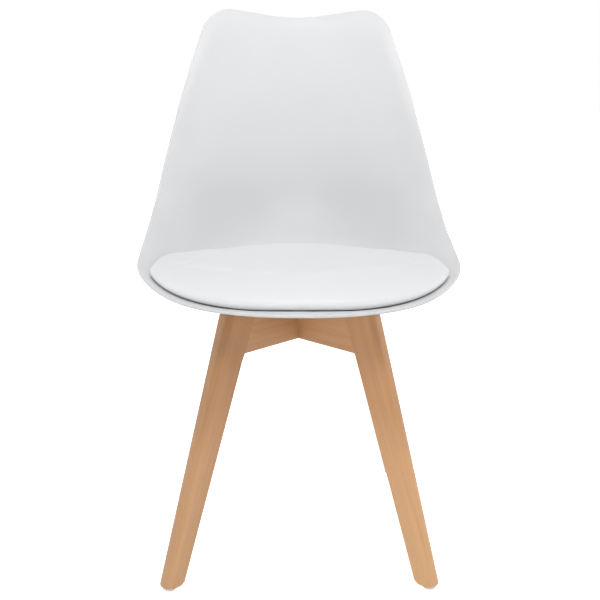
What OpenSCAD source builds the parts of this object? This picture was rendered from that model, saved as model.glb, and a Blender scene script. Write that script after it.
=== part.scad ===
// Dining chair: a moulded bucket shell with an upholstered seat pad, on a beech cross frame with four splayed legs.
// Millimetres, +Z up, +Y to the rear. The origin is on the floor, midway between the front lip and the top of the back.

/* [Shell] */
// Overall width of the shell
shell_w = 480; // [460:2:496]
// Wall thickness of the shell
shell_t = 4.5; // [3.5:0.5:5.5]
// Height of the flat middle of the seat pan
pan_z = 410; // [406:1:420]
// Width of the back, 600 mm above the floor
lumbar_w = 424; // [404:2:432]
// Width of the back, 800 mm above the floor
shoulder_w = 310; // [298:2:326]
// Depth of the dip in the middle of the top edge
top_dip = 11; // [4:1:16]

/* [Seat pad] */
// Width of the seat pad
pad_w = 432; // [420:2:440]
// Length of the seat pad, along the curve of the shell
pad_len = 388; // [372:2:394]
// Height of the middle of the pad above the pan
pad_rise = 44; // [38:1:46]
// Thickness of the leatherette cover
cover_t = 1.2; // [1:0.1:1.6]
// Thickness of the moulded plywood board
board_t = 5; // [4:0.5:6]

/* [Leg frame] */
// Thickness of the legs and beams
leg_t = 29; // [26:1:32]
// Distance from the cross to the outer edge of a foot
foot_reach = 276; // [268:1:286]
// Width of a leg at the foot
foot_w = 28; // [24:1:30]
// Width of a leg at the top
leg_top_w = 51; // [47:1:53]
// Rounding of the outer edge of a leg
leg_round = 12; // [8:1:13]
// Height of the underside of the beams
beam_z = 324; // [316:1:327]
// Height of a beam
beam_h = 60; // [54:1:62]
// Spacing of the four frame bolts
bolt_pitch = 112; // [106:2:114]

/* [Hidden] */
$fn = 48;

// Distance of the leg cross in front of the origin
cross_y = -24.1;
clearance = 0.1;

// The shell's centre line runs from the front lip (0) over the seat and up the back. Every list below holds
// [distance along that line, value], and ease() draws a smooth curve through its points.
lip_y = -243 + cross_y;
line_step = 2;
line_len = 880;
flat_from = 130;
flat_to = 330;
heading = [[0, -15], [flat_from, 0], [flat_to, 0], [415, 33], [505, 69], [600, 79], [700, 80], [850, 75]];
side_lean = [[0, -15], [flat_from, 0], [226, 8], [flat_to, 25], [440, 48], [505, 60], [600, 73], [700, 79], [850, 75]];
side_raise = [[0, 0], [60, 13], [130, 28], [226, 43], [flat_to, 69], [440, 103], [505, 97], [600, 74], [671, 57], [850, 12]];
flat_share = [[0, 0.5], [flat_to, 0.5], [480, 0], [850, 0]];
rim_roll = [[0, 4.5], [440, 4], [850, 3]];
roll_band = 18;
b_wide = 226;
b_corner = 795;
b_top = 830;
peak_half = 114;
// The rolled rim and the wall stand this far outside the face's own edge
rim_out = 5.5;
seat_half = shell_w / 2 - rim_out;
// [height above the floor, half width of the shell's face]
half_by_height = [[430, seat_half], [448, seat_half], [520, seat_half - 11.5], [600, lumbar_w / 2 - 5],
    [700, (lumbar_w + shoulder_w) / 4 - 1.5], [800, shoulder_w / 2 - 2.5], [850, shoulder_w / 2 - 20]];

// Seat pad, in the shell's own coordinates: across, and along its centre line
pad_mid_b = 170;
pad_gap = 1.4;
edge_height = [[0, 9], [pad_mid_b, 8], [400, 6.5]];
board_share = 0.93;
flap_share = 0.8;
staple_share = 0.86;
staple_count = 20;
pad_screw_x = 92;
pad_screw_y = 40;

// Legs, in the plane that holds a leg and the cross: distance out from the cross, and height
glide_h = 5;
glide_r = 9;
foot_bevel = 5;
beam_top = beam_z + beam_h;
top_reach = 154.3;
foot_in = foot_reach - foot_w;
top_in = top_reach - leg_top_w;
leg_lean = atan((foot_in - top_in) / (beam_top - glide_h));
edge_lean = atan((foot_reach - top_reach) / (beam_top - glide_h));
function inner_reach(z) = top_in + (beam_top - z) * tan(leg_lean);
leg_angles = [225, 315, 45, 135];
foot_mid = foot_reach - (foot_w - foot_bevel) / 2;

// Fasteners
bolt_r = 3;
bolt_len = 64;
bore_r = 3.3;
sink_r = 7;
sink_depth = 12;
washer_t = 1.6;
head_h = 6;
insert_r = 4.5;
insert_len = 15;
boss_r = 12;
dowel_r = 4;
dowel_len = 40;
nail_r = 1.2;
nail_len = 20;

// ---------- Curves ----------

function secant(k, i) = (k[i + 1][1] - k[i][1]) / (k[i + 1][0] - k[i][0]);

function slope(k, i) =
    i == 0 ? secant(k, 0) :
    i == len(k) - 1 ? secant(k, i - 1) :
    let (p = secant(k, i - 1), q = secant(k, i)) p * q <= 0 ? 0 : 2 * p * q / (p + q);

// A smooth curve through the points of k that never overshoots them
function ease(k, x) =
    let (n = len(k) - 1)
    x <= k[0][0] ? k[0][1] + slope(k, 0) * (x - k[0][0]) :
    x >= k[n][0] ? k[n][1] + slope(k, n) * (x - k[n][0]) :
    let (
        i = max([for (j = [0:n - 1]) if (x >= k[j][0]) j]),
        h = k[i + 1][0] - k[i][0],
        t = (x - k[i][0]) / h
    )
    k[i][1] * (1 + 2 * t) * pow(1 - t, 2) + slope(k, i) * h * t * pow(1 - t, 2)
        + k[i + 1][1] * t * t * (3 - 2 * t) + slope(k, i + 1) * h * t * t * (t - 1);

line_steps = [for (i = [0:line_len / line_step - 1])
    let (g = ease(heading, (i + 0.5) * line_step)) line_step * [cos(g), sin(g)]];
line_raw = [for (i = 0, p = [0, 0]; i <= len(line_steps); p = p + (i < len(line_steps) ? line_steps[i] : [0, 0]),
    i = i + 1) p];
line_start = [lip_y, pan_z - line_raw[flat_from / line_step][1]];

// The centre line's [y, z] at distance b
function centre(b) =
    let (t = b / line_step, i = min(max(floor(t), 0), len(line_raw) - 2), f = t - i)
    line_start + line_raw[i] * (1 - f) + line_raw[i + 1] * f;

function rim_height(b) = centre(b)[1] + ease(side_raise, b) * cos(ease(side_lean, b));

function half_width(b) =
    b < b_wide ? seat_half * sqrt(max(0.02, 1 - pow(1 - b / b_wide, 2))) : ease(half_by_height, rim_height(b));

// How far the shell's sides rise off its centre line
function dish(a, b) =
    let (flat = ease(flat_share, b), s = (abs(a) / half_width(b) - flat) / (1 - flat))
    ease(side_raise, b) * pow(max(0, s), 2);

function skin_point(a, b) =
    let (c = centre(b), g = ease(side_lean, b), h = dish(a, b)) [a, c[0] - h * sin(g), c[1] + h * cos(g)];

function skin_normal(a, b) =
    let (n = cross(skin_point(a + 1, b) - skin_point(a - 1, b), skin_point(a, b + 1) - skin_point(a, b - 1)))
    n / norm(n);

// A point off the shell's upper face by the distance off, along the face's normal
function off_skin(p, off) = skin_point(p[0], p[1]) + off * skin_normal(p[0], p[1]);

// ---------- Closed solids from rings of points ----------

// Skins a list of rings that run from the point first, round the solid, to the point last
module ring_solid(first, rings, last) {
    n = len(rings[0]);
    m = len(rings);
    points = concat([first], [for (r = rings) each r], [last]);
    function at(i, j) = 1 + i * n + j % n;
    faces = concat(
        [for (j = [0:n - 1]) [0, at(0, j + 1), at(0, j)]],
        [for (i = [0:m - 2], j = [0:n - 1]) each [
            [at(i, j), at(i, j + 1), at(i + 1, j + 1)],
            [at(i, j), at(i + 1, j + 1), at(i + 1, j)]
        ]],
        [for (j = [0:n - 1]) [at(m - 1, j), at(m - 1, j + 1), len(points) - 1]]
    );
    polyhedron(points, faces);
}

// ---------- Shell ----------

front_n = 11;
side_n = 20;
corner_n = 6;
top_n = 6;
shell_rings = 20;
shell_mid = [0, 420];

right_rim = concat(
    [for (i = [0:front_n - 1]) let (t = 90 * i / front_n) [seat_half * sin(t), b_wide * (1 - cos(t))]],
    [for (i = [0:side_n - 1]) let (b = b_wide + (b_corner - b_wide) * i / side_n) [half_width(b), b]],
    [for (i = [0:corner_n - 1])
        let (t = 90 * i / corner_n, b = b_corner + (b_top - b_corner) * sin(t))
        [peak_half + (half_width(b) - peak_half) * cos(t), b]],
    [for (i = [0:top_n]) let (a = peak_half * (1 - i / top_n)) [a, b_top - top_dip * pow((1 + cos(180 * a / peak_half)) / 2, 0.8)]]
);
rim = concat(right_rim, [for (i = [len(right_rim) - 2:-1:1]) [-right_rim[i][0], right_rim[i][1]]]);

// How far the rim lies from the shell's middle, square to the rim
rim_far = [for (i = [0:len(rim) - 1])
    let (along = rim[(i + 1) % len(rim)] - rim[(i + len(rim) - 1) % len(rim)], out = rim[i] - shell_mid)
    abs(out[0] * along[1] - out[1] * along[0]) / norm(along)];

// One ring of the shell's face, at a share of the way to the rim; the face rolls down along the rim
function shell_ring(share, off) = [for (i = [0:len(rim) - 1])
    let (
        p = shell_mid + share * (rim[i] - shell_mid),
        near = max(0, 1 - (1 - share) * rim_far[i] / roll_band)
    )
    off_skin(p, off - ease(rim_roll, rim[i][1]) * near * near)];

ring_shares = [for (i = [shell_rings - 1:-1:0]) 1 - pow(i / shell_rings, 1.3)];

module shell_wall() {
    ring_solid(
        off_skin(shell_mid, 0),
        concat([for (s = ring_shares) shell_ring(s, 0)],
            [for (i = [shell_rings - 1:-1:0]) shell_ring(ring_shares[i], -shell_t)]),
        off_skin(shell_mid, -shell_t)
    );
}

wall_mid_z = pan_z - shell_t / 2;

module seat_shell() {
    color("whitesmoke") difference() {
        union() {
            shell_wall();
            at_bolts() cylinder(r = boss_r, h = wall_mid_z - beam_top);
            at_pad_screws(wall_mid_z - 5.5) cylinder(r = 9, h = 5.5);
            translate([0, cross_y, wall_mid_z - 12]) rib_ring();
            for (g = leg_angles) translate([0, cross_y, 0]) rotate([0, 0, g]) boss_rib();
        }
        at_bolts() translate([0, 0, -1]) cylinder(r = insert_r, h = insert_len + 3);
        at_pad_screws(wall_mid_z - 10) cylinder(r = 2.7, h = 20);
    }
}

module rib_ring() {
    mid = bolt_pitch / sqrt(2);
    difference() {
        cylinder(r = mid + 1.5, h = 12);
        translate([0, 0, -1]) cylinder(r = mid - 1.5, h = 14);
    }
}

// A rib that runs outwards from a boss and fades into the wall
module boss_rib() {
    start = bolt_pitch / sqrt(2) + boss_r - 1;
    rotate([90, 0, 0]) translate([0, 0, -1.5]) linear_extrude(3)
        polygon([[start, wall_mid_z], [start, wall_mid_z - 18], [start + 34, wall_mid_z - 3], [start + 34, wall_mid_z]]);
}

module shell_inserts() {
    groove = 1.2;
    color("goldenrod") at_bolts() difference() {
        cylinder(r = insert_r, h = insert_len);
        translate([0, 0, -1]) cylinder(r = bolt_r, h = insert_len + 2);
        for (z = [4, 9]) translate([0, 0, z]) difference() {
            cylinder(r = insert_r + 1, h = groove);
            translate([0, 0, -1]) cylinder(r = insert_r - 0.7, h = groove + 2);
        }
    }
}

module at_bolts(z = beam_top) {
    for (x = [-1, 1], y = [-1, 1]) translate([x * bolt_pitch / 2, cross_y + y * bolt_pitch / 2, z]) children();
}

module at_pad_screws(z) {
    for (x = [-1, 1], y = [-1, 1]) translate([x * pad_screw_x, cross_y + y * pad_screw_y, z]) children();
}

// ---------- Seat pad ----------

pad_n = 80;
front_shape = 1.87;
rear_shape = 2.42;
crown_power = 4.5;
pad_front = 0.409 * pad_len;
pad_rear = pad_len - pad_front;

// The pad's outline: a near ellipse in front of its widest place and a squarer one behind it
function pad_dir(i) =
    let (t = 360 * i / pad_n, c = sin(t), s = -cos(t), shape = s < 0 ? front_shape : rear_shape)
    [pad_w / 2 * sign(c) * pow(abs(c), 2 / shape), (s < 0 ? pad_front : pad_rear) * sign(s) * pow(abs(s), 2 / shape)];

function pad_at(share, i) = [0, pad_mid_b] + share * pad_dir(i);

function pad_under(share, off) = [for (i = [0:pad_n - 1]) off_skin(pad_at(share, i), off)];

// The pad's crown falls from its middle to its edge; inset is how far inside the cover's outer face a layer lies
function pad_top(share, inset) = [for (i = [0:pad_n - 1])
    let (
        p = off_skin(pad_at(share, i), pad_gap),
        q = off_skin(pad_at(1, i), pad_gap),
        edge = q[2] + ease(edge_height, pad_at(1, i)[1])
    )
    [p[0], p[1], pan_z + pad_rise + (edge - pan_z - pad_rise) * pow(share, crown_power) - inset]];

function pad_side(inset) = [for (i = [0:pad_n - 1])
    let (q = off_skin(pad_at(1 - inset / 200, i), pad_gap)) q + [0, 0, ease(edge_height, pad_at(1, i)[1]) * 0.45]];

crown = [0.2, 0.4, 0.6, 0.75, 0.88, 0.97];
down = [for (i = [len(crown) - 1:-1:0]) crown[i]];
function pad_peak(inset) = [0, off_skin([0, pad_mid_b], 0)[1], pan_z + pad_rise - inset];

module cushion_cover() {
    inner = cover_t;
    color("white") difference() {
        ring_solid(
            pad_peak(0),
            concat(
                [for (s = crown) pad_top(s, 0)],
                [pad_side(0)],
                [for (s = [0.98, board_share, flap_share]) pad_under(s, pad_gap)],
                [for (s = [flap_share, board_share, 0.97]) pad_under(s, pad_gap + inner)],
                [pad_side(inner)],
                [for (s = down) pad_top(s * 0.995, inner)]
            ),
            pad_peak(inner)
        );
        staple_wires();
    }
}

board_off = pad_gap + cover_t + 0.6;
board_top = board_off + board_t;
board_rings = [0.52, 0.72, flap_share, board_share];
board_rings_in = [for (i = [len(board_rings) - 1:-1:0]) board_rings[i]];

module cushion_foam() {
    inset = cover_t + 0.5;
    lift = board_top + 0.5;
    color("khaki") difference() {
        ring_solid(
            pad_peak(inset),
            concat(
                [for (s = crown) pad_top(s * 0.99, inset)],
                [pad_side(inset + 0.8)],
                [for (s = [0.962, board_share + 0.008]) pad_under(s, board_off + 0.4)],
                [pad_under(board_share + 0.004, lift)],
                [for (s = board_rings_in) pad_under(s, lift)]
            ),
            off_skin([0, pad_mid_b], lift)
        );
        at_pad_screws(pan_z + board_top - 1) cylinder(r = 9, h = 2.6);
    }
}

module cushion_board() {
    color("burlywood") difference() {
        ring_solid(
            off_skin([0, pad_mid_b], board_top),
            concat(
                [for (s = board_rings) pad_under(s, board_top)],
                [for (s = board_rings_in) pad_under(s, board_off)]
            ),
            off_skin([0, pad_mid_b], board_off)
        );
        staple_wires();
        at_pad_screws(pan_z) cylinder(r = 3.6, h = 20);
    }
}

// Staples that hold the turned-in cover to the board: a flat crown under the cover, and two legs up through it
module staple_wires() {
    wire = 0.6;
    span = 10;
    leg = cover_t + 3.2;
    for (i = [0:staple_count - 1]) {
        share_at = i * pad_n / staple_count + 1;
        p = pad_at(staple_share, share_at);
        n = skin_normal(p[0], p[1]);
        out = pad_dir(share_at + 1) - pad_dir(share_at - 1);
        side = skin_point(p[0] + out[0] / norm(out), p[1] + out[1] / norm(out)) - skin_point(p[0], p[1]);
        x = side / norm(side);
        y = cross(n, x) / norm(cross(n, x));
        o = skin_point(p[0], p[1]) + (pad_gap - wire) * n;
        multmatrix([[x[0], y[0], n[0], o[0]], [x[1], y[1], n[1], o[1]], [x[2], y[2], n[2], o[2]], [0, 0, 0, 1]])
            union() {
                translate([-span / 2, -wire / 2, 0]) cube([span, wire, wire]);
                for (e = [-span / 2, span / 2 - wire]) translate([e, -wire / 2, 0]) cube([wire, wire, wire + leg]);
            }
    }
}

module cover_staples() {
    color("silver") staple_wires();
}

module tee_nuts() {
    flange_t = 1.2;
    color("silver") at_pad_screws(pan_z + board_top + 0.1) difference() {
        union() {
            cylinder(r = 8, h = flange_t);
            translate([0, 0, -board_t + 0.5]) cylinder(r = 3.6, h = board_t);
        }
        translate([0, 0, -board_t]) cylinder(r = 2.5, h = board_t + 3);
    }
}

pad_seat_z = wall_mid_z - 5.5;

module pad_screws() {
    tip = pan_z + board_top - pad_seat_z + 1;
    color("silver") at_pad_screws(pad_seat_z) difference() {
        union() {
            translate([0, 0, -1 - 3.2]) cylinder(r = 4.6, h = 3.2);
            translate([0, 0, -1.2]) cylinder(r = 2.5, h = tip + 1.2);
        }
        translate([0, 0, -5]) for (g = [0, 90]) rotate([0, 0, g]) translate([-2.4, -0.5, 0]) cube([4.8, 1, 2.6]);
    }
}

module pad_washers() {
    color("silver") at_pad_screws(pad_seat_z - 1) difference() {
        cylinder(r = 6, h = 1);
        translate([0, 0, -1]) cylinder(r = 2.7, h = 3);
    }
}

// ---------- Leg frame ----------

// A beam between two opposite legs, with holes for its two bolts and for the dowels, and half of the cross joint
module beam(angle, notch_up) {
    half = beam_h / 2 + clearance / 2;
    notch = leg_t + 2 * clearance;
    color("burlywood") translate([0, cross_y, 0]) rotate([0, 0, angle]) difference() {
        rotate([90, 0, 0]) translate([0, 0, -leg_t / 2]) linear_extrude(leg_t) polygon([
            [-inner_reach(beam_z), beam_z], [inner_reach(beam_z), beam_z],
            [inner_reach(beam_top), beam_top], [-inner_reach(beam_top), beam_top]
        ]);
        translate([-notch / 2, -leg_t, notch_up ? beam_top - half : beam_z - 1])
            cube([notch, 2 * leg_t, half + 1]);
        for (side = [-1, 1]) translate([side * bolt_pitch / sqrt(2), 0, 0]) {
            translate([0, 0, beam_z - 1]) cylinder(r = bore_r, h = beam_h + 2);
            translate([0, 0, beam_z - 1]) cylinder(r = sink_r, h = sink_depth + 1);
        }
        for (turn = [0, 180]) rotate([0, 0, turn]) at_dowels() dowel_hole();
    }
}

module beam_lower() { beam(45, true); }
module beam_upper() { beam(135, false); }

// Places children at a leg's two dowels, with +Z outwards, square to the joint
module at_dowels() {
    for (z = [beam_z + beam_h * 0.28, beam_z + beam_h * 0.72])
        translate([inner_reach(z), 0, z]) rotate([0, 90 - leg_lean, 0]) children();
}

module dowel_hole() {
    translate([0, 0, -dowel_len / 2 - 1]) cylinder(r = dowel_r + 0.05, h = dowel_len + 2);
}

module dowel() {
    chamfer = 1;
    translate([0, 0, -dowel_len / 2]) {
        cylinder(r1 = dowel_r - chamfer, r2 = dowel_r, h = chamfer);
        translate([0, 0, chamfer]) cylinder(r = dowel_r, h = dowel_len - 2 * chamfer);
        translate([0, 0, dowel_len - chamfer]) cylinder(r1 = dowel_r, r2 = dowel_r - chamfer, h = chamfer);
    }
}

// A bar whose far long side is rounded at both corners, lying along +Z
module round_bar(depth, length) {
    linear_extrude(length) union() {
        translate([-depth, -leg_t / 2]) square([depth - leg_round, leg_t]);
        translate([-leg_round - 1, -leg_t / 2 + leg_round]) square([leg_round + 1, leg_t - 2 * leg_round]);
        for (y = [-1, 1]) translate([-leg_round, y * (leg_t / 2 - leg_round)]) circle(r = leg_round);
    }
}

module leg(angle) {
    color("burlywood") translate([0, cross_y, 0]) rotate([0, 0, angle]) difference() {
        intersection() {
            rotate([90, 0, 0]) translate([0, 0, -leg_t]) linear_extrude(2 * leg_t) polygon([
                [inner_reach(glide_h + foot_bevel), glide_h + foot_bevel], [foot_in + foot_bevel, glide_h],
                [foot_reach + 40, glide_h],
                [top_reach + 40, beam_top], [top_in + clearance / cos(leg_lean), beam_top]
            ]);
            translate([foot_reach, 0, glide_h]) rotate([0, -edge_lean, 0]) translate([0, 0, -40])
                round_bar(120, 520);
        }
        at_dowels() dowel_hole();
        translate([foot_mid, 0, 0]) cylinder(r = nail_r, h = nail_len + 1);
    }
}

module leg_dowels() {
    color("tan") translate([0, cross_y, 0]) for (g = leg_angles) rotate([0, 0, g]) at_dowels() dowel();
}

washer_z = beam_z + sink_depth - washer_t;
spring_z = washer_z - washer_t;

module frame_bolts() {
    color("dimgray") at_bolts(spring_z) difference() {
        union() {
            translate([0, 0, -head_h]) cylinder(r = 5, h = head_h);
            cylinder(r = bolt_r, h = bolt_len);
        }
        translate([0, 0, -head_h - 1]) cylinder(r = 2.9, h = 4, $fn = 6);
    }
}

module flat_washers() {
    color("silver") at_bolts(washer_z) ring(6.2, washer_t);
}

// A spring washer is a ring with one slanted cut
module spring_washers() {
    color("silver") at_bolts(spring_z) difference() {
        ring(5.6, washer_t);
        translate([4.6, 0, washer_t / 2]) rotate([30, 0, 0]) cube([4, 0.6, 6], center = true);
    }
}

module ring(r, h) {
    difference() {
        cylinder(r = r, h = h);
        translate([0, 0, -1]) cylinder(r = bore_r, h = h + 2);
    }
}

module glide(angle) {
    color("gainsboro") translate([0, cross_y, 0]) rotate([0, 0, angle]) translate([foot_mid, 0, 0]) difference() {
        union() {
            cylinder(r = glide_r, h = glide_h - 1);
            translate([0, 0, glide_h - 1]) cylinder(r1 = glide_r, r2 = glide_r - 1, h = 1);
        }
        translate([0, 0, -1]) cylinder(r = 3.6, h = 2.6);
        translate([0, 0, -1]) cylinder(r = nail_r, h = glide_h + 2);
    }
}

module glide_nails() {
    head_z = 0.6;
    color("silver") translate([0, cross_y, 0]) for (g = leg_angles) rotate([0, 0, g]) translate([foot_mid, 0, head_z]) {
        cylinder(r = 3.2, h = 1);
        cylinder(r = nail_r, h = nail_len);
    }
}

seat_shell();
shell_inserts();
cushion_cover();
cushion_foam();
cushion_board();
cover_staples();
tee_nuts();
pad_screws();
pad_washers();
beam_lower();
beam_upper();
leg(leg_angles[0]);  // leg_front_left
leg(leg_angles[1]);  // leg_front_right
leg(leg_angles[2]);  // leg_rear_right
leg(leg_angles[3]);  // leg_rear_left
leg_dowels();
frame_bolts();
spring_washers();
flat_washers();
glide(leg_angles[0]);  // glide_front_left
glide(leg_angles[1]);  // glide_front_right
glide(leg_angles[2]);  // glide_rear_right
glide(leg_angles[3]);  // glide_rear_left
glide_nails();
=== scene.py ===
import math

import bmesh
import bpy
import numpy as np
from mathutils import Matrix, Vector, noise
from mathutils.bvhtree import BVHTree


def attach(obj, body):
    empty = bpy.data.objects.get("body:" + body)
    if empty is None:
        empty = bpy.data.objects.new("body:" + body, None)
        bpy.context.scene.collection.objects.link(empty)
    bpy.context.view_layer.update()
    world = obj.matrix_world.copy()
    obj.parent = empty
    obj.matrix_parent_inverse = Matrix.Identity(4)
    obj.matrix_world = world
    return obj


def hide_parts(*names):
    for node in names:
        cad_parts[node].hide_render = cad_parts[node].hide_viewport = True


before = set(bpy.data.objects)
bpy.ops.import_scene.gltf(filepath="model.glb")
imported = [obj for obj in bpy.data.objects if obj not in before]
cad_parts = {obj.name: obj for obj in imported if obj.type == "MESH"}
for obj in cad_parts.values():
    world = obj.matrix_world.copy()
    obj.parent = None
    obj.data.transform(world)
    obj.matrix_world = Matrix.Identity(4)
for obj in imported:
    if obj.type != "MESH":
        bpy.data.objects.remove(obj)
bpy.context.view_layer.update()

MM = 0.001
BODY = "root"

# ---------------------------------------------------------------------------
# The shell's face, as in the CAD source: a runs across, b along the centre line from the front lip (0) over
# the seat and up the back. Sizes and places are in millimetres here and in metres in the meshes.
# ---------------------------------------------------------------------------
CROSS_Y = -24.1
LIP_Y = -243 + CROSS_Y
PAN_Z = 410.0
SHELL_W, LUMBAR_W, SHOULDER_W = 480.0, 424.0, 310.0
SHELL_T = 4.5
FLAT_FROM, FLAT_TO = 130.0, 330.0
HEADING = [[0, -15], [FLAT_FROM, 0], [FLAT_TO, 0], [415, 33], [505, 69], [600, 79], [700, 80], [850, 75]]
SIDE_LEAN = [[0, -15], [FLAT_FROM, 0], [226, 8], [FLAT_TO, 25], [440, 48], [505, 60], [600, 73], [700, 79],
             [850, 75]]
SIDE_RAISE = [[0, 0], [60, 13], [130, 28], [226, 43], [FLAT_TO, 69], [440, 103], [505, 97], [600, 74],
              [671, 57], [850, 12]]
FLAT_SHARE = [[0, 0.5], [FLAT_TO, 0.5], [480, 0], [850, 0]]
RIM_ROLL = [[0, 4.5], [440, 4], [850, 3]]
ROLL_BAND = 18.0
# The rolled rim and the wall stand this far outside the face's own edge
RIM_OUT = 5.5
SEAT_HALF = SHELL_W / 2 - RIM_OUT
HALF_BY_HEIGHT = [[430, SEAT_HALF], [448, SEAT_HALF], [520, SEAT_HALF - 11.5], [600, LUMBAR_W / 2 - 5],
                  [700, (LUMBAR_W + SHOULDER_W) / 4 - 1.5], [800, SHOULDER_W / 2 - 2.5],
                  [850, SHOULDER_W / 2 - 20]]
B_WIDE, B_CORNER, B_TOP = 226.0, 795.0, 830.0
PEAK_HALF, TOP_DIP = 114.0, 11.0
# The sheet's rows spread from this point to the outline
SHELL_MID = np.array([0.0, 420.0])
# The middle of the rounded edge lies this far inside the outline
EDGE_INSET = 0.6


def ease(knots, x):
    """A smooth curve through the knots that never overshoots them."""
    k = np.asarray(knots, float)
    kx, ky = k[:, 0], k[:, 1]
    d = np.diff(ky) / np.diff(kx)
    m = np.empty(len(kx))
    m[0], m[-1] = d[0], d[-1]
    for i in range(1, len(kx) - 1):
        p, q = d[i - 1], d[i]
        m[i] = 0 if p * q <= 0 else 2 * p * q / (p + q)
    x = np.asarray(x, float)
    i = np.clip(np.searchsorted(kx, x, side="right") - 1, 0, len(kx) - 2)
    h = kx[i + 1] - kx[i]
    t = (x - kx[i]) / h
    mid = (ky[i] * (1 + 2 * t) * (1 - t) ** 2 + m[i] * h * t * (1 - t) ** 2
           + ky[i + 1] * t * t * (3 - 2 * t) + m[i + 1] * h * t * t * (t - 1))
    low, high = ky[0] + m[0] * (x - kx[0]), ky[-1] + m[-1] * (x - kx[-1])
    return np.where(x <= kx[0], low, np.where(x >= kx[-1], high, mid))


def centre_table(step=0.25, length=900.0):
    """The centre line as (b, y, z), summed up from its heading."""
    b = np.arange(0.0, length, step)
    g = np.radians(ease(HEADING, b + step / 2))
    y = np.concatenate([[0], np.cumsum(step * np.cos(g))])
    z = np.concatenate([[0], np.cumsum(step * np.sin(g))])
    b = np.concatenate([b, [length]])
    return b, y + LIP_Y, z + PAN_Z - np.interp(FLAT_FROM, b, z)


LINE_B, LINE_Y, LINE_Z = centre_table()


def centre(b):
    return np.interp(b, LINE_B, LINE_Y), np.interp(b, LINE_B, LINE_Z)


def centre_b(y):
    return np.interp(y, LINE_Y, LINE_B)


def rim_height(b):
    return centre(b)[1] + ease(SIDE_RAISE, b) * np.cos(np.radians(ease(SIDE_LEAN, b)))


def half_width(b):
    b = np.asarray(b, float)
    front = SEAT_HALF * np.sqrt(np.maximum(0.02, 1 - (1 - b / B_WIDE) ** 2))
    return np.where(b < B_WIDE, front, ease(HALF_BY_HEIGHT, rim_height(b)))


def skin_point(a, b):
    """A point of the shell's upper face."""
    a, b = np.asarray(a, float), np.asarray(b, float)
    flat = ease(FLAT_SHARE, b)
    s = (np.abs(a) / half_width(b) - flat) / (1 - flat)
    h = ease(SIDE_RAISE, b) * np.maximum(0, s) ** 2
    y, z = centre(b)
    g = np.radians(ease(SIDE_LEAN, b))
    return np.stack([a, y - h * np.sin(g), z + h * np.cos(g)], -1)


def unit(v):
    return v / np.linalg.norm(v, axis=-1, keepdims=True)


def skin_normal(a, b, d=1.0):
    across = skin_point(a + d, b) - skin_point(a - d, b)
    along = skin_point(a, b + d) - skin_point(a, b - d)
    return unit(np.cross(across, along))


def rim_line(n_front, n_side, n_corner, n_top):
    """The shell's outline in (a, b), once round from the front."""
    t = np.radians(90 * np.arange(n_front) / n_front)
    front = np.stack([SEAT_HALF * np.sin(t), B_WIDE * (1 - np.cos(t))], -1)
    b = B_WIDE + (B_CORNER - B_WIDE) * np.arange(n_side) / n_side
    side = np.stack([half_width(b), b], -1)
    t = np.radians(90 * np.arange(n_corner) / n_corner)
    b = B_CORNER + (B_TOP - B_CORNER) * np.sin(t)
    corner = np.stack([PEAK_HALF + (half_width(b) - PEAK_HALF) * np.cos(t), b], -1)
    a = PEAK_HALF * (1 - np.arange(n_top + 1) / n_top)
    top = np.stack([a, B_TOP - TOP_DIP * ((1 + np.cos(np.pi * a / PEAK_HALF)) / 2) ** 0.8], -1)
    right = np.concatenate([front, side, corner, top])
    left = right[1:-1][::-1] * [-1, 1]
    return np.concatenate([right, left])


def resample(line, count):
    """Spreads a closed line's points evenly over its length on the shell, starting at the front."""
    p = skin_point(line[:, 0], line[:, 1])
    seg = np.linalg.norm(np.roll(p, -1, 0) - p, axis=1)
    s = np.concatenate([[0], np.cumsum(seg)])
    closed = np.concatenate([line, line[:1]])
    want = np.arange(count) * s[-1] / count
    return np.stack([np.interp(want, s, closed[:, 0]), np.interp(want, s, closed[:, 1])], -1)


# ---------------------------------------------------------------------------
# Mesh helpers
# ---------------------------------------------------------------------------
def mesh_object(name, verts, faces, smooth=True):
    me = bpy.data.meshes.new(name)
    me.from_pydata([tuple(v) for v in verts], [], faces)
    me.validate()
    me.update()
    ob = bpy.data.objects.new(name, me)
    bpy.context.scene.collection.objects.link(ob)
    if smooth:
        me.polygons.foreach_set("use_smooth", [True] * len(me.polygons))
    return ob


def closed_solid(name, first, rows, last):
    """A closed solid from a (rows, n, 3) array of rings, with a pole before the first and after the last."""
    verts = np.concatenate([first[None], rows.reshape(-1, 3), last[None]]) * MM
    n, end = rows.shape[1], len(verts) - 1
    faces = [(0, 1 + (j + 1) % n, 1 + j) for j in range(n)]
    for o in range(1, end - n, n):
        faces += [(o + j, o + (j + 1) % n, o + n + (j + 1) % n, o + n + j) for j in range(n)]
    faces += [(end - n + j, end - n + (j + 1) % n, end) for j in range(n)]
    return mesh_object(name, verts, faces)


def grid_normals(p):
    """Normals of a (rows, n, 3) sheet that closes on itself along its second axis."""
    du = np.gradient(p, axis=0)
    dv = np.roll(p, -1, 1) - np.roll(p, 1, 1)
    return unit(np.cross(dv, du))


def fix_normals(ob):
    """Turns every face of a closed solid outwards."""
    bm = bmesh.new()
    bm.from_mesh(ob.data)
    bmesh.ops.recalc_face_normals(bm, faces=bm.faces)
    bm.to_mesh(ob.data)
    bm.free()


def join(name, parts):
    """Joins mesh objects into one, keeping every vertex where it is."""
    bm = bmesh.new()
    for p in parts:
        bm.from_mesh(p.data)
        bpy.data.objects.remove(p)
    me = bpy.data.meshes.new(name)
    bm.to_mesh(me)
    bm.free()
    ob = bpy.data.objects.new(name, me)
    bpy.context.scene.collection.objects.link(ob)
    me.polygons.foreach_set("use_smooth", [True] * len(me.polygons))
    return ob


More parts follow.
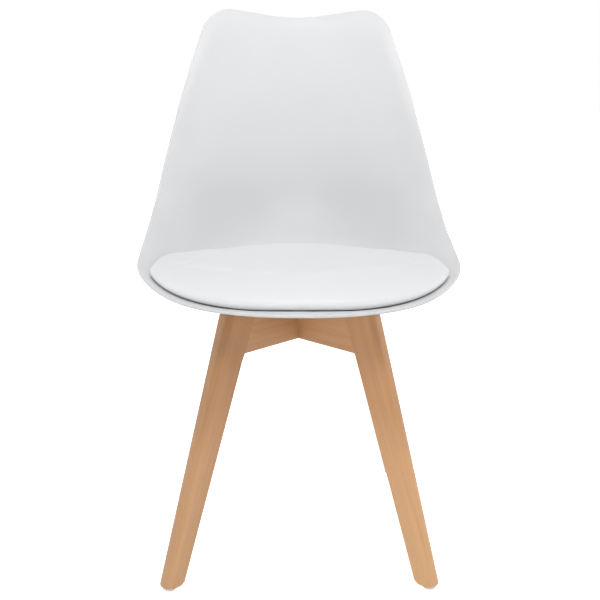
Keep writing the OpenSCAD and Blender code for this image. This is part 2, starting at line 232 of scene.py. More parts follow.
def apply_modifiers(ob):
    dg = bpy.context.evaluated_depsgraph_get()
    me = bpy.data.meshes.new_from_object(ob.evaluated_get(dg))
    ob.modifiers.clear()
    ob.data = me


# ---------------------------------------------------------------------------
# Materials
# ---------------------------------------------------------------------------
# The heights between which the shell's painted shade and light change, and where they fade out to each side,
# in metres
PAINTED_SHADING_HEIGHTS, PAINTED_SHADING_SIDES = (0.4, 0.9), (0.16, 0.21)
# The shell's plain level around its painted shade and light
PAINTED_SHADING_PLAIN = 0.943
# Darkest, middle and palest growth of the wood
BEECH_COLORS = (0.541, 0.286, 0.129), (0.592, 0.323, 0.151), (0.639, 0.357, 0.173)


def new_material(name, color, roughness, metallic=0.0):
    mat = bpy.data.materials.new(name)
    mat.use_nodes = True
    nt = mat.node_tree
    shader = nt.nodes["Principled BSDF"]
    shader.inputs["Base Color"].default_value = (*color, 1)
    shader.inputs["Roughness"].default_value = roughness
    shader.inputs["Metallic"].default_value = metallic
    return mat, nt, shader


def node(nt, kind, **settings):
    n = nt.nodes.new(kind)
    for key, value in settings.items():
        setattr(n, key, value)
    return n


def mapped(nt, vector, **placing):
    m = node(nt, "ShaderNodeMapping")
    for key, value in placing.items():
        m.inputs[key.title()].default_value = value
    nt.links.new(vector, m.inputs["Vector"])
    return m.outputs["Vector"]


def coords(nt, scale=(1, 1, 1)):
    return mapped(nt, node(nt, "ShaderNodeTexCoord").outputs["Object"], scale=scale)


def split(nt, vector):
    """The x, y and z outputs of a vector."""
    parts = node(nt, "ShaderNodeSeparateXYZ")
    nt.links.new(vector, parts.inputs[0])
    return parts.outputs


def noise_tex(nt, vector, scale, detail=3.0, roughness=0.5, distortion=0.0):
    n = node(nt, "ShaderNodeTexNoise")
    n.inputs["Scale"].default_value = scale
    n.inputs["Detail"].default_value = detail
    n.inputs["Roughness"].default_value = roughness
    n.inputs["Distortion"].default_value = distortion
    nt.links.new(vector, n.inputs["Vector"])
    return n.outputs["Fac"]


def voronoi_distance(nt, vector, scale):
    cells = node(nt, "ShaderNodeTexVoronoi", feature="F1")
    cells.inputs["Scale"].default_value = scale
    nt.links.new(vector, cells.inputs["Vector"])
    return cells.outputs["Distance"]


def ramp(nt, fac, stops, interpolation="LINEAR"):
    """A colour ramp. stops are (place, colour)."""
    r = node(nt, "ShaderNodeValToRGB")
    r.color_ramp.interpolation = interpolation
    el = r.color_ramp.elements
    while len(el) < len(stops):
        el.new(0.5)
    for e, (pos, color) in zip(el, stops):
        e.position = pos
        e.color = (*color, 1)
    nt.links.new(fac, r.inputs["Fac"])
    return r.outputs["Color"]


def greys(*stops):
    """Stops of a ramp, from (place, brightness)."""
    return [(place, (level,) * 3) for place, level in stops]


def to_range(nt, fac, low, high, from_low=0.0, from_high=1.0):
    r = node(nt, "ShaderNodeMapRange")
    r.inputs["From Min"].default_value = from_low
    r.inputs["From Max"].default_value = from_high
    r.inputs["To Min"].default_value = low
    r.inputs["To Max"].default_value = high
    nt.links.new(fac, r.inputs["Value"])
    return r.outputs["Result"]


def mix_color(nt, fac, a, b, mode="MIX"):
    """Mixes two colours. fac is a number or a socket, a and b are colours or sockets."""
    m = node(nt, "ShaderNodeMix", data_type="RGBA", blend_type=mode)
    colors = [s for s in m.inputs if s.type == "RGBA"]
    for value, socket in ((fac, m.inputs["Factor"]), (a, colors[0]), (b, colors[1])):
        if isinstance(value, bpy.types.NodeSocket):
            nt.links.new(value, socket)
        else:
            socket.default_value = (*value, 1) if isinstance(value, tuple) else value
    return [s for s in m.outputs if s.type == "RGBA"][0]


def multiply(nt, a, b, fac=1.0):
    return mix_color(nt, fac, a, b, "MULTIPLY")


def bump(nt, shader, height, strength, distance):
    b = node(nt, "ShaderNodeBump")
    b.inputs["Strength"].default_value = strength
    b.inputs["Distance"].default_value = distance
    nt.links.new(height, b.inputs["Height"])
    nt.links.new(b.outputs["Normal"], shader.inputs["Normal"])


def shell_plastic():
    """White polypropylene, with painted shade across the small of the back and painted light a little higher
    up.
    """
    mat, nt, shader = new_material("shell_plastic", (0.675, 0.678, 0.688), 0.42)
    v = coords(nt)
    cloud = noise_tex(nt, v, 6.0, 2.0)
    color = ramp(nt, cloud, [(0.3, (0.704, 0.707, 0.718)), (0.7, (0.726, 0.730, 0.741))])
    place = split(nt, v)
    # Painted shade across the small of the back and painted light above it, fading out to the sides
    up = to_range(nt, place["Z"], 0.0, 1.0, *PAINTED_SHADING_HEIGHTS)
    painted_shading = ramp(nt, up, greys((0.0, 0.93), (0.12, 0.873), (0.22, 0.85), (0.32, 0.945), (0.45, 1.0),
                              (0.66, 0.995), (0.78, PAINTED_SHADING_PLAIN)), "B_SPLINE")
    away = node(nt, "ShaderNodeMath", operation="ABSOLUTE")
    nt.links.new(place["X"], away.inputs[0])
    middle = to_range(nt, away.outputs[0], 1.0, 0.0, *PAINTED_SHADING_SIDES)
    color = multiply(nt, color, mix_color(nt, middle, (PAINTED_SHADING_PLAIN,) * 3, painted_shading))
    nt.links.new(color, shader.inputs["Base Color"])
    fine = noise_tex(nt, v, 1400.0, 2.0, 0.6)
    nt.links.new(to_range(nt, noise_tex(nt, v, 30.0, 3.0), 0.36, 0.48), shader.inputs["Roughness"])
    bump(nt, shader, fine, 0.18, 0.0002)
    return mat


def leatherette():
    """White leatherette with a fine cellular grain."""
    mat, nt, shader = new_material("leatherette", (0.80, 0.806, 0.812), 0.45)
    v = coords(nt)
    cell = node(nt, "ShaderNodeTexVoronoi", feature="DISTANCE_TO_EDGE")
    cell.inputs["Scale"].default_value = 900.0
    warp = node(nt, "ShaderNodeTexNoise")
    warp.inputs["Scale"].default_value = 400.0
    nt.links.new(v, warp.inputs["Vector"])
    mixed = node(nt, "ShaderNodeVectorMath", operation="MULTIPLY_ADD")
    mixed.inputs[1].default_value = (0.0012, 0.0012, 0.0012)
    nt.links.new(warp.outputs["Color"], mixed.inputs[0])
    nt.links.new(v, mixed.inputs[2])
    nt.links.new(mixed.outputs[0], cell.inputs["Vector"])
    grain = to_range(nt, cell.outputs["Distance"], 0.0, 1.0, 0.0, 0.35)
    cloud = noise_tex(nt, v, 9.0, 3.0)
    base = ramp(nt, cloud, [(0.3, (0.786, 0.793, 0.800)), (0.7, (0.813, 0.820, 0.827))])
    color = mix_color(nt, grain, (0.744, 0.75, 0.757), base)
    nt.links.new(color, shader.inputs["Base Color"])
    nt.links.new(to_range(nt, grain, 0.55, 0.42), shader.inputs["Roughness"])
    bump(nt, shader, grain, 0.35, 0.00025)
    return mat


def beech(name, along, seed, tone_and_painted_light=1.0, leg=False):
    """Clear-lacquered beech. along is the direction of the grain; the tone is partly painted light. A leg's
    wood has painted shade under the seat, so it is paler towards its foot.
    """
    mat, nt, shader = new_material(name, (0.60, 0.36, 0.19), 0.4)
    place = node(nt, "ShaderNodeTexCoord").outputs["Object"]
    turn = Vector(along).normalized().rotation_difference(Vector((0, 0, 1))).to_euler()
    wood = mapped(nt, place, rotation=turn, location=(seed * 0.37, seed * 0.21, seed * 0.55))
    bands = noise_tex(nt, mapped(nt, wood, scale=(34, 34, 1.6)), 1.0, 3.0, 0.55, 0.6)
    streaks = noise_tex(nt, mapped(nt, wood, scale=(240, 240, 6)), 1.0, 4.0, 0.6)
    pores = noise_tex(nt, mapped(nt, wood, scale=(1500, 1500, 60)), 1.0, 2.0, 0.5)
    flecks = voronoi_distance(nt, mapped(nt, wood, scale=(620, 620, 190)), 1.0)
    low, mid, high = [tuple(c * tone_and_painted_light for c in color) for color in BEECH_COLORS]
    color = ramp(nt, bands, [(0.28, low), (0.5, mid), (0.72, high)])
    fine = ramp(nt, streaks, [(0.3, (0.90, 0.87, 0.84)), (0.65, (1.0, 1.0, 1.0))])
    color = multiply(nt, color, fine, 0.8)
    fleck = ramp(nt, flecks, [(0.10, (0.78, 0.69, 0.60)), (0.24, (1.0, 1.0, 1.0))])
    color = multiply(nt, color, fleck, 0.45)
    # Painted shade: the wood is darkened under the seat, where the seat's shadow falls, leaving it paler
    # towards the foot
    if leg:
        up = to_range(nt, split(nt, place)["Z"], 0.0, 1.0, 0.0, 0.4)
        fade = ramp(nt, up, [(0.05, (0.935, 0.99, 1.0)), (0.45, (0.91, 0.92, 0.945)),
                             (0.65, (0.77, 0.74, 0.71)), (0.9, (0.86, 0.81, 0.77))])
        color = multiply(nt, color, fade)
    nt.links.new(color, shader.inputs["Base Color"])
    nt.links.new(to_range(nt, streaks, 0.34, 0.5), shader.inputs["Roughness"])
    shader.inputs["Coat Weight"].default_value = 0.25
    shader.inputs["Coat Roughness"].default_value = 0.25
    bump(nt, shader, pores, 0.2, 0.00012)
    return mat


def metal(name, color, roughness):
    """Plated or plain metal with a cloudy finish."""
    mat, nt, shader = new_material(name, color, roughness, 1.0)
    v = coords(nt)
    cloud = noise_tex(nt, v, 220.0, 3.0)
    dark = tuple(c * 0.8 for c in color)
    nt.links.new(ramp(nt, cloud, [(0.35, dark), (0.65, color)]), shader.inputs["Base Color"])
    nt.links.new(to_range(nt, noise_tex(nt, v, 900.0, 2.0), roughness - 0.08, roughness + 0.1),
                 shader.inputs["Roughness"])
    bump(nt, shader, noise_tex(nt, v, 1800.0, 2.0), 0.12, 0.0001)
    return mat


def nylon():
    mat, nt, shader = new_material("nylon", (0.88, 0.88, 0.87), 0.5)
    v = coords(nt)
    cloud = noise_tex(nt, v, 120.0, 3.0)
    color = ramp(nt, cloud, [(0.3, (0.86, 0.86, 0.85)), (0.7, (0.90, 0.90, 0.89))])
    nt.links.new(color, shader.inputs["Base Color"])
    bump(nt, shader, noise_tex(nt, v, 1200.0, 2.0), 0.15, 0.0002)
    return mat


def foam_material():
    mat, nt, shader = new_material("foam", (0.80, 0.72, 0.46), 0.9)
    cells = voronoi_distance(nt, coords(nt), 1100.0)
    color = ramp(nt, cells, [(0.1, (0.62, 0.52, 0.28)), (0.5, (0.84, 0.77, 0.52))])
    nt.links.new(color, shader.inputs["Base Color"])
    bump(nt, shader, cells, 0.6, 0.0006)
    return mat


def plywood():
    mat, nt, shader = new_material("plywood", (0.55, 0.38, 0.22), 0.65)
    grain = noise_tex(nt, coords(nt, (40, 260, 900)), 1.0, 4.0, 0.6)
    color = ramp(nt, grain, [(0.3, (0.42, 0.27, 0.14)), (0.5, (0.56, 0.39, 0.22)), (0.7, (0.66, 0.49, 0.30))])
    nt.links.new(color, shader.inputs["Base Color"])
    bump(nt, shader, grain, 0.3, 0.0002)
    return mat


def paint(ob, mat):
    ob.data.materials.clear()
    ob.data.materials.append(mat)


# ---------------------------------------------------------------------------
# Shell
# ---------------------------------------------------------------------------
# Above 1, the sheet's rows lie closer together towards the rim
ROWS_CLOSE_UP = 1.35
BOSS_Z, BOSS_R, BOSS_PITCH = 384.0, 12.0, 112.0
BORE_R, BORE_TOP = 4.55, 401.0
PAD_SCREW = (92.0, 40.0)
SCREW_PAD_DEPTH = 5.5
RING_DEPTH, RIB_DEPTH, RIB_LENGTH = 12.0, 16.0, 34.0
# The pan's underside
PAN_UNDER = PAN_Z - SHELL_T


def shell_sheet(around, rows):
    """The shell's upper face as (rows, around, 3) points, from near its middle to its rolled rim."""
    line = resample(rim_line(160, 320, 120, 160), around)
    tangent = unit(np.roll(line, -1, 0) - np.roll(line, 1, 0))
    out = line - SHELL_MID
    # How far the outline's tangent at each point lies from the middle
    far = np.abs(out[:, 0] * tangent[:, 1] - out[:, 1] * tangent[:, 0])
    edge = 1 - EDGE_INSET / far
    sheet = []
    for share in 1 - (1 - np.arange(1, rows + 1) / rows) ** ROWS_CLOSE_UP:
        q = SHELL_MID + (share * edge)[:, None] * out
        near = np.maximum(0, 1 - (1 - share * edge) * far / ROLL_BAND)
        drop = ease(RIM_ROLL, line[:, 1]) * near ** 2
        sheet.append(skin_point(q[:, 0], q[:, 1]) - drop[:, None] * skin_normal(q[:, 0], q[:, 1]))
    return np.array(sheet)


def make_shell():
    """The bare bucket: upper face, rounded edge and underside."""
    around, rows, bead = 420, 64, 8
    top = shell_sheet(around, rows)
    normal = grid_normals(top)
    if normal[rows // 2, 0, 2] < 0:
        normal = -normal
    under = top - SHELL_T * normal
    outward = unit(top[-1] - top[-2])
    middle = top[-1] - SHELL_T / 2 * normal[-1]
    arc = []
    for i in range(1, bead):
        t = math.pi * i / bead
        arc.append(middle + SHELL_T / 2 * (math.cos(t) * normal[-1] + math.sin(t) * outward))
    pole_top = skin_point(*SHELL_MID)
    pole_under = pole_top - SHELL_T * skin_normal(*SHELL_MID)
    return closed_solid("shell_wall", pole_top, np.concatenate([top, np.array(arc), under[::-1]]), pole_under)


def underside(x, y):
    """Height of the shell's underside over a point of the flat pan, in mm."""
    return skin_point(x, centre_b(y))[..., 2] - SHELL_T


def turned(name, centre_xy, profile, count=64):
    """A closed turned post. profile is (radius, height) all the way round its section; a height of None means
    the shell's own underside there, sunk a little way in."""
    verts, faces = [], []
    n = len(profile)
    for j in range(count):
        t = 2 * math.pi * j / count
        for r, z in profile:
            x, y = centre_xy[0] + r * math.cos(t), centre_xy[1] + r * math.sin(t)
            if z is None:
                z = float(underside(x, y)) + 1.5
            verts.append((x * MM, y * MM, z * MM))
    for j in range(count):
        k = (j + 1) % count
        faces += [(j * n + i, k * n + i, k * n + (i + 1) % n, j * n + (i + 1) % n) for i in range(n)]
    ob = mesh_object(name, verts, faces)
    fix_normals(ob)
    return ob


def boss(x, y):
    """A boss for an insert, flared into the pan."""
    flare = [(7.0, None), (4.4, 0.3), (2.4, 1.4), (1.1, 3.0), (0.5, 5.5), (0.35, 9)]
    outside = [(BOSS_R + out, down if down is None else PAN_UNDER - down) for out, down in flare]
    foot = [(BOSS_R, BOSS_Z + 0.9), (BOSS_R - 0.3, BOSS_Z + 0.25), (BOSS_R - 0.9, BOSS_Z)]
    bore = [(BORE_R + 0.5, BOSS_Z), (BORE_R, BOSS_Z + 0.5), (BORE_R, BORE_TOP), (0.01, BORE_TOP),
            (0.01, PAN_UNDER + 1.5)]
    return turned("boss", (x, y), outside + foot + bore)


def screw_pad(x, y):
    """A low thickening of the pan round a screw of the seat pad."""
    low = PAN_Z - SHELL_T / 2 - SCREW_PAD_DEPTH
    outside = [(13.0, None), (11.0, PAN_UNDER - 0.25), (9.6, PAN_UNDER - 1.0), (9.0, PAN_UNDER - 2.0)]
    foot = [(9.0, low + 0.4), (8.6, low), (3.2, low), (2.8, low + 0.4), (2.8, PAN_UNDER + 1.0)]
    return turned("screw_pad", (x, y), outside + foot)


def rib_ring(radius, depth, half=1.5):
    """A ring-shaped rib that joins the bosses."""
    low = PAN_Z - SHELL_T / 2 - depth
    side = [(half + 2.5, PAN_UNDER + 0.6), (half + 1.2, PAN_UNDER - 0.4), (half + 0.3, PAN_UNDER - 2.0),
            (half, PAN_UNDER - 4), (half, low + 0.5), (half - 0.5, low)]
    inside = [(radius - out, z) for out, z in side]
    outside = [(radius + out, z) for out, z in side[::-1]]
    return turned("rib_ring", (0, CROSS_Y), inside + outside, 160)


def radial_rib(angle, start, length, depth):
    """A rib that runs out from a boss and fades into the shell's underside."""
    steps, half = 24, 1.5
    c, s = math.cos(math.radians(angle)), math.sin(math.radians(angle))
    verts, faces = [], []
    for i in range(steps + 1):
        t = i / steps
        r = start + length * t
        x, y = r * c, CROSS_Y + r * s
        z_top = float(underside(x, y)) + 1.2
        z_low = z_top - 1.2 - depth * (1 - t) ** 1.2 + 0.2 * t
        for off, z in ((-half - 1.4, z_top), (-half, z_top - 2.2), (-half, z_low + 0.5), (-half + 0.5, z_low),
                       (half - 0.5, z_low), (half, z_low + 0.5), (half, z_top - 2.2), (half + 1.4, z_top)):
            z = min(z, z_top)
            verts.append(((x - off * s) * MM, (y + off * c) * MM, z * MM))
    n = len(verts) // (steps + 1)
    for o in range(0, steps * n, n):
        faces += [(o + j, o + n + j, o + n + (j + 1) % n, o + (j + 1) % n) for j in range(n)]
    faces += [tuple(range(n)), tuple(range(steps * n, steps * n + n))]
    ob = mesh_object("radial_rib", verts, faces)
    fix_normals(ob)
    return ob


def build_shell(mat):
    parts = [make_shell()]
    half = BOSS_PITCH / 2
    for sx in (-1, 1):
        for sy in (-1, 1):
            parts.append(boss(sx * half, CROSS_Y + sy * half))
            parts.append(screw_pad(sx * PAD_SCREW[0], CROSS_Y + sy * PAD_SCREW[1]))
    ring_r = BOSS_PITCH / math.sqrt(2)
    parts.append(rib_ring(ring_r, RING_DEPTH))
    for angle in (45, 135, 225, 315):
        parts.append(radial_rib(angle, ring_r + BOSS_R - 1, RIB_LENGTH, RIB_DEPTH))
    shell = join("shell", parts)
    paint(shell, mat)
    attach(shell, BODY)
    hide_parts("seat_shell")


# ---------------------------------------------------------------------------
# Seat pad
# ---------------------------------------------------------------------------
PAD_W, PAD_LEN, PAD_MID_B = 432.0, 388.0, 170.0
FRONT_SHAPE, REAR_SHAPE, CROWN_POWER = 1.87, 2.42, 4.5
PAD_FRONT = 0.409 * PAD_LEN
PAD_REAR = PAD_LEN - PAD_FRONT
PAD_GAP, PAD_RISE = 1.4, 44.0
EDGE_HEIGHT = [[0, 9], [PAD_MID_B, 8], [400, 6.5]]
# The share by which the cover's form is smaller than the CAD's, so that the blown-up cover stays in its box
PAD_TUCK = 0.003
# The cover is held fast to this height above the shell
HELD_HEIGHT = 6.0


def pad_plan(share, count):
    """The pad's rounded outline in (a, b), scaled by share about its middle."""
    t = 2 * math.pi * np.arange(count) / count
    c, s = np.sin(t), -np.cos(t)
    shape = np.where(s < 0, FRONT_SHAPE, REAR_SHAPE)
    a = PAD_W / 2 * np.sign(c) * np.abs(c) ** (2 / shape)
    b = np.where(s < 0, PAD_FRONT, PAD_REAR) * np.sign(s) * np.abs(s) ** (2 / shape)
    return np.stack([share * a, PAD_MID_B + share * b], -1)


def pad_ring(share, count):
    """The pad's outline, scaled by share, laid on the shell with the pad's small gap."""
    a, b = pad_plan(share * (1 - PAD_TUCK), count).T
    return skin_point(a, b) + PAD_GAP * skin_normal(a, b)


def pad_form(count):
    """The pad's closed form: crown, rings that run over the edge and in underneath, and floor."""
    rise = ease(EDGE_HEIGHT, pad_plan(1.0, count)[:, 1])
    edge_z = pad_ring(1.0, count)[:, 2] + rise
    crown_z = PAN_Z + PAD_RISE
    rows = []
    for share in np.concatenate([np.linspace(0.06, 0.84, 14), [0.89, 0.93, 0.96, 0.98]]):
        ring = pad_ring(share, count)
        ring[:, 2] = crown_z + (edge_z - crown_z) * share ** CROWN_POWER
        rows.append(ring)
    for lift, share in ((0.8, 0.993), (0.62, 0.999), (0.45, 1.0), (0.28, 0.997)):
        ring = pad_ring(share, count)
        ring[:, 2] += rise * lift
        rows.append(ring)
    rows += [pad_ring(share, count) for share in (0.985, 0.96, 0.93, 0.88, 0.8, 0.65, 0.5, 0.35, 0.2, 0.08)]
    middle = skin_point(0, PAD_MID_B)
    return np.array([*middle[:2], crown_z]), np.array(rows), middle + [0, 0, PAD_GAP]


def build_pad(mat):
    pad = closed_solid("seat_pad", *pad_form(180))
    fix_normals(pad)
    form = BVHTree.FromPolygons([v.co.copy() for v in pad.data.vertices],
                                [tuple(p.vertices) for p in pad.data.polygons])
    inflate(pad)
    sub = pad.modifiers.new("sub", "SUBSURF")
    sub.levels = sub.render_levels = 1
    apply_modifiers(pad)
    crease_underside(pad)
    keep_outside(pad, form)
    pad.data.polygons.foreach_set("use_smooth", [True] * len(pad.data.polygons))
    paint(pad, mat)
    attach(pad, BODY)
    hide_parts("cushion_cover")


def vertex_places(mesh):
    places = np.empty(len(mesh.vertices) * 3)
    mesh.vertices.foreach_get("co", places)
    return places.reshape(-1, 3)


def above_shell(places):
    """Heights in mm of points, given in metres, over the shell's face."""
    x, y, z = np.asarray(places).T / MM
    return z - skin_point(x, centre_b(y))[..., 2]


def inflate(pad, voxel=0.005, pressure=4.0, furthest=0.003, frames=20):
    """Cloth simulation of the foam pressing the cover out; the underside stays on the shell."""
    rm = pad.modifiers.new("remesh", "REMESH")
    rm.mode = "VOXEL"
    rm.voxel_size = voxel
    apply_modifiers(pad)
    rest = vertex_places(pad.data)
    held = np.where(above_shell(rest) < HELD_HEIGHT)[0]
    group = pad.vertex_groups.new(name="held")
    group.add([int(i) for i in held], 1.0, "REPLACE")
    cloth = pad.modifiers.new("cloth", "CLOTH")
    s = cloth.settings
    s.quality = 6
    s.mass = 0.3
    s.tension_stiffness = s.compression_stiffness = 25
    s.shear_stiffness = 15
    s.bending_stiffness = 2.0
    s.use_pressure = True
    s.uniform_pressure_force = pressure
    s.vertex_group_mass = "held"
    s.pin_stiffness = 1.0
    s.effector_weights.gravity = 0
    cloth.point_cache.frame_start, cloth.point_cache.frame_end = 1, frames
    scene = bpy.context.scene
    for f in range(1, frames + 1):
        scene.frame_set(f)
    blown = pad.evaluated_get(bpy.context.evaluated_depsgraph_get())
    move = vertex_places(blown.to_mesh()) - rest
    blown.to_mesh_clear()
    size = np.linalg.norm(move, axis=1, keepdims=True)
    move *= np.minimum(1.0, furthest / np.maximum(size, 1e-9))
    pad.modifiers.clear()
    pad.vertex_groups.clear()
    pad.data.vertices.foreach_set("co", (rest + move).ravel())
    pad.data.update()
    scene.frame_set(1)


def keep_outside(pad, form, lift=0.0002):
    """The foam holds the cover out: no point of it sinks inside the pad's own form."""
    for v in pad.data.vertices:
        point, normal, _, _ = form.find_nearest(v.co)
        depth = lift - (v.co - point).dot(normal)
        if depth > 0:
            v.co += depth * normal


def crease_underside(pad, depth=0.0005, around=16, middle=3.0, reach=6.0):
    """Small gathers where the cover turns under the pad's edge, deepest at middle mm above the shell."""
    for v, height in zip(pad.data.vertices, above_shell(vertex_places(pad.data))):
        fade = 1 - abs(float(height) - middle) / reach
        if fade > 0:
            angle = math.atan2(v.co.y / MM - CROSS_Y, v.co.x / MM)
            wave = noise.noise(Vector((math.cos(angle) * around, math.sin(angle) * around, 3.7)))
            v.co += v.normal * (wave * fade * depth)


# ---------------------------------------------------------------------------
# Leg frame
# ---------------------------------------------------------------------------
LEG_T, FOOT_REACH, FOOT_W, LEG_TOP_W, LEG_ROUND = 29.0, 276.0, 28.0, 51.0, 12.0
BEAM_Z, BEAM_H, TOP_REACH = 324.0, 60.0, 154.3
GLIDE_H, FOOT_BEVEL = 5.0, 5.0
BEAM_TOP = BEAM_Z + BEAM_H
FOOT_IN, TOP_IN = FOOT_REACH - FOOT_W, TOP_REACH - LEG_TOP_W
# How far the inner face leans inwards for each mm of height
LEAN = (FOOT_IN - TOP_IN) / (BEAM_TOP - GLIDE_H)
# Rounding of a leg's inner corners, and what is left of it where the leg is glued to its beam
SOFT_EDGE, GLUED_EDGE = 2.0, 0.12
# Name, bearing in degrees and tone of each leg's wood; the right legs' brighter tone is painted light
LEGS = (("leg_front_left", 225, 1.03), ("leg_front_right", 315, 1.24), ("leg_rear_right", 45, 1.24),
        ("leg_rear_left", 135, 1.03))


def inner_reach(z):
    """Distance of a leg's inner face from the cross's middle, with the bevel at the foot."""
    return TOP_IN + (BEAM_TOP - z) * LEAN + max(0.0, FOOT_BEVEL - (z - GLIDE_H))


def outer_reach(z):
    return TOP_REACH + (BEAM_TOP - z) * (FOOT_REACH - TOP_REACH) / (BEAM_TOP - GLIDE_H)


def leg_section(r_in, r_out, shrink, soft):
    """A leg's level section: flat inner face with soft corners, and a well rounded outer edge."""
    half = LEG_T / 2 - shrink
    r_in, r_out = r_in + shrink, r_out - shrink
    points = []
    for cx, cy, r, start, steps in ((r_out - LEG_ROUND, half - LEG_ROUND, LEG_ROUND, 0, 10),
                                    (r_in + soft, half - soft, soft, 90, 4),
                                    (r_in + soft, -half + soft, soft, 180, 4),
                                    (r_out - LEG_ROUND, -half + LEG_ROUND, LEG_ROUND, 270, 10)):
        for i in range(steps + 1):
            t = math.radians(start + 90 * i / steps)
            points.append((cx + r * math.cos(t), cy + r * math.sin(t)))
    return points


def leg_levels(run_out=11.0):
    """(height, shrink, soft) of each section of a leg, from its chamfered foot up. The soft corners run out
    below the beam."""
    levels = [(GLIDE_H + up, shrink, SOFT_EDGE) for up, shrink in ((0, 1.6), (0.5, 0.7), (1.5, 0.15))]
    levels += [(z, 0.0, SOFT_EDGE) for z in np.linspace(GLIDE_H + FOOT_BEVEL, BEAM_Z - run_out - 3, 40)]
    levels += [(z, 0.0, SOFT_EDGE * (BEAM_Z - z) / run_out + GLUED_EDGE)
               for z in np.linspace(BEAM_Z - run_out, BEAM_Z - 1, 5)]
    levels += [(z, 0.0, GLUED_EDGE) for z in np.linspace(BEAM_Z, BEAM_TOP - 1.5, 8)]
    return levels + [(BEAM_TOP - 0.5, 0.25, GLUED_EDGE), (BEAM_TOP, 0.8, GLUED_EDGE)]


def build_leg(name, angle, mat):
    levels = leg_levels()
    verts, faces = [], []
    c, s = math.cos(math.radians(angle)), math.sin(math.radians(angle))
    for z, shrink, soft in levels:
        for r, t in leg_section(inner_reach(z), outer_reach(z), shrink, soft):
            verts.append(((r * c - t * s) * MM, (CROSS_Y + r * s + t * c) * MM, z * MM))
    n = len(verts) // len(levels)
    for o in range(0, len(verts) - n, n):
        faces += [(o + j, o + (j + 1) % n, o + n + (j + 1) % n, o + n + j) for j in range(n)]
    faces += [tuple(range(n))[::-1], tuple(range(len(verts) - n, len(verts)))]
    leg = mesh_object(name, verts, faces)
    fix_normals(leg)
    leg.data.set_sharp_from_angle(angle=math.radians(40))
    paint(leg, mat)
    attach(leg, BODY)
    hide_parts(name.replace("beech_", ""))


def build_frame_parts(nodes):
    """The legs, and the materials of the parts that stay as they are in the CAD."""
    for i, (name, angle, tone_and_painted_light) in enumerate(LEGS):
        c, s = math.cos(math.radians(angle)), math.sin(math.radians(angle))
        wood = beech("beech_leg_%d" % (i + 1), (-c * LEAN, -s * LEAN, 1.0), 1.0 + 2.3 * i, tone_and_painted_light, leg=True)
        build_leg("beech_" + name, angle, wood)
    d = math.sqrt(0.5)
    # The upper beam's brighter tone is painted light, as on the right legs
    paint(nodes["beam_lower"], beech("beech_beam_1", (d, d, 0), 11.0, 0.98))
    paint(nodes["beam_upper"], beech("beech_beam_2", (-d, d, 0), 14.0, 1.14))
    paint(nodes["leg_dowels"], beech("beech_dowel", (0, 0, 1), 17.0, 1.1))
    zinc = metal("zinc", (0.66, 0.66, 0.64), 0.34)
    black = metal("black_zinc", (0.09, 0.09, 0.095), 0.4)
    brass = metal("brass", (0.72, 0.52, 0.24), 0.32)
    for name in ("cover_staples", "tee_nuts", "pad_screws", "pad_washers", "spring_washers", "flat_washers",
                 "glide_nails"):
        paint(nodes[name], zinc)
    paint(nodes["frame_bolts"], black)
    paint(nodes["shell_inserts"], brass)
    plastic = nylon()
    for name, _, _ in LEGS:
        paint(nodes[name.replace("leg", "glide")], plastic)
    paint(nodes["cushion_foam"], foam_material())
    paint(nodes["cushion_board"], plywood())


# ---------------------------------------------------------------------------
# Studio
# ---------------------------------------------------------------------------
SKY_STRENGTH = 2.35
# Brightness of the studio's walls at four heights from the horizon up, in front of the chair and behind it
WALL_HEIGHTS = (0.0, 0.12, 0.45, 0.9)
WALL_FRONT = (0.80, 0.05, 0.35, 0.56)
WALL_BACK = (0.05, 2.3, 0.05, 0.56)
# Name, place, size and power of each soft lamp
LAMPS = [("top_lamp", (0.0, -0.3, 2.8), (2.2, 2.2), 15.0),
         ("front_lamp", (0.0, -2.2, 2.6), (2.0, 1.0), 41.0),
         ("right_lamp", (2.8, -0.6, 1.5), (1.8, 1.8), 12.8),
         ("left_lamp", (-2.8, -0.6, 1.5), (1.8, 1.8), 10.8)]
LAMP_TARGET = (0, 0, 0.45)
# The camera's place from the leg frame's middle in metres, its angles in degrees, and its lens in mm
CAMERA_DISTANCE, CAMERA_HEIGHT, CAMERA_ASIDE = 1.404, 0.7276, -0.0340
CAMERA_TILT, CAMERA_TURN, CAMERA_ROLL = 13.95, -1.395, -0.37
SENSOR, LENS = 36, 56.73
# The floor's own glow, and what the camera sees on top of it
FLOOR_GLOW, FLOOR_WASH = 0.12, 0.6
FLOOR_HALF = 14.0


def build_floor():
    """A pale floor that glows a little. The camera alone sees a brighter wash over it, as on a lit sweep."""
    corners = [(x * FLOOR_HALF, y * FLOOR_HALF, 0) for x, y in ((-1, -1), (1, -1), (1, 1), (-1, 1))]
    floor = mesh_object("floor", corners, [(0, 1, 2, 3)], smooth=False)
    mat, nt, shader = new_material("floor_paint", (0.93, 0.93, 0.93), 0.8)
    shader.inputs["Emission Color"].default_value = (1, 1, 1, 1)
    seen = node(nt, "ShaderNodeLightPath").outputs["Is Camera Ray"]
    nt.links.new(to_range(nt, seen, FLOOR_GLOW, FLOOR_GLOW + FLOOR_WASH), shader.inputs["Emission Strength"])
    color = ramp(nt, noise_tex(nt, coords(nt), 3.0), greys((0.3, 0.925), (0.7, 0.935)))
    nt.links.new(color, shader.inputs["Base Color"])
    paint(floor, mat)


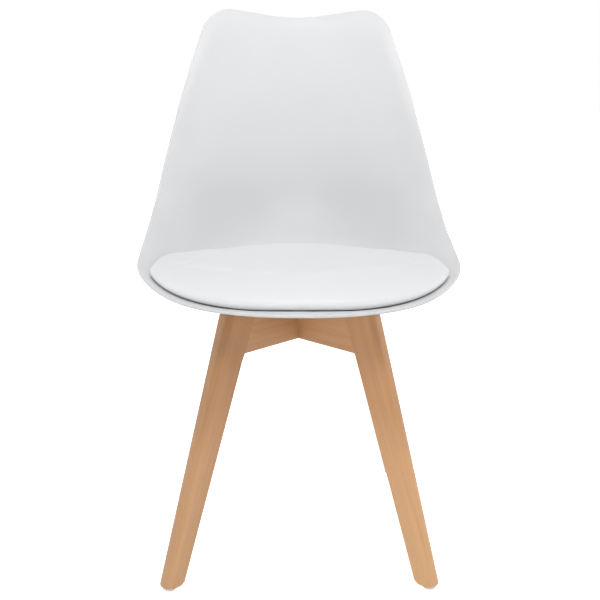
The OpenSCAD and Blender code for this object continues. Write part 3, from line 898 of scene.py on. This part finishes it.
def soft_lamp(name, location, size, power):
    data = bpy.data.lights.new(name, "AREA")
    data.shape = "RECTANGLE"
    data.size, data.size_y = size
    data.energy = power
    ob = bpy.data.objects.new(name, data)
    ob.location = location
    ob.rotation_euler = (Vector(LAMP_TARGET) - Vector(location)).to_track_quat("-Z", "Y").to_euler()
    bpy.context.scene.collection.objects.link(ob)


def build_studio():
    """Walls whose brightness changes with height, soft lamps and a floor. The camera sees plain white."""
    scene = bpy.context.scene
    world = bpy.data.worlds.new("studio")
    scene.world = world
    world.use_nodes = True
    nt = world.node_tree
    back = nt.nodes["Background"]
    way = split(nt, node(nt, "ShaderNodeTexCoord").outputs["Generated"])

    def wall(levels):
        return ramp(nt, way["Z"], greys(*zip(WALL_HEIGHTS, [level / SKY_STRENGTH for level in levels])))

    frontness = to_range(nt, way["Y"], 1.0, 0.0, -0.5, 0.5)
    sky = mix_color(nt, frontness, wall(WALL_BACK), wall(WALL_FRONT))
    seen = node(nt, "ShaderNodeLightPath").outputs["Is Camera Ray"]
    nt.links.new(mix_color(nt, seen, sky, (1 / SKY_STRENGTH,) * 3), back.inputs["Color"])
    back.inputs["Strength"].default_value = SKY_STRENGTH
    for lamp in LAMPS:
        soft_lamp(*lamp)
    scene.view_settings.view_transform = "Standard"
    scene.view_settings.look = "None"
    scene.view_settings.exposure = 0
    build_floor()


def build_camera():
    """In front of the chair, just below the top of its back, looking slightly down."""
    data = bpy.data.cameras.new("camera")
    data.sensor_width = SENSOR
    data.lens = LENS
    cam = bpy.data.objects.new("camera", data)
    cam.location = (CAMERA_ASIDE, CROSS_Y * MM - CAMERA_DISTANCE, CAMERA_HEIGHT)
    cam.rotation_mode = "XYZ"
    cam.rotation_euler = [math.radians(angle) for angle in (90 - CAMERA_TILT, CAMERA_ROLL, CAMERA_TURN)]
    bpy.context.scene.collection.objects.link(cam)
    bpy.context.scene.camera = cam


build_camera()
build_studio()
build_shell(shell_plastic())
build_pad(leatherette())
build_frame_parts(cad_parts)

bpy.context.view_layer.update()
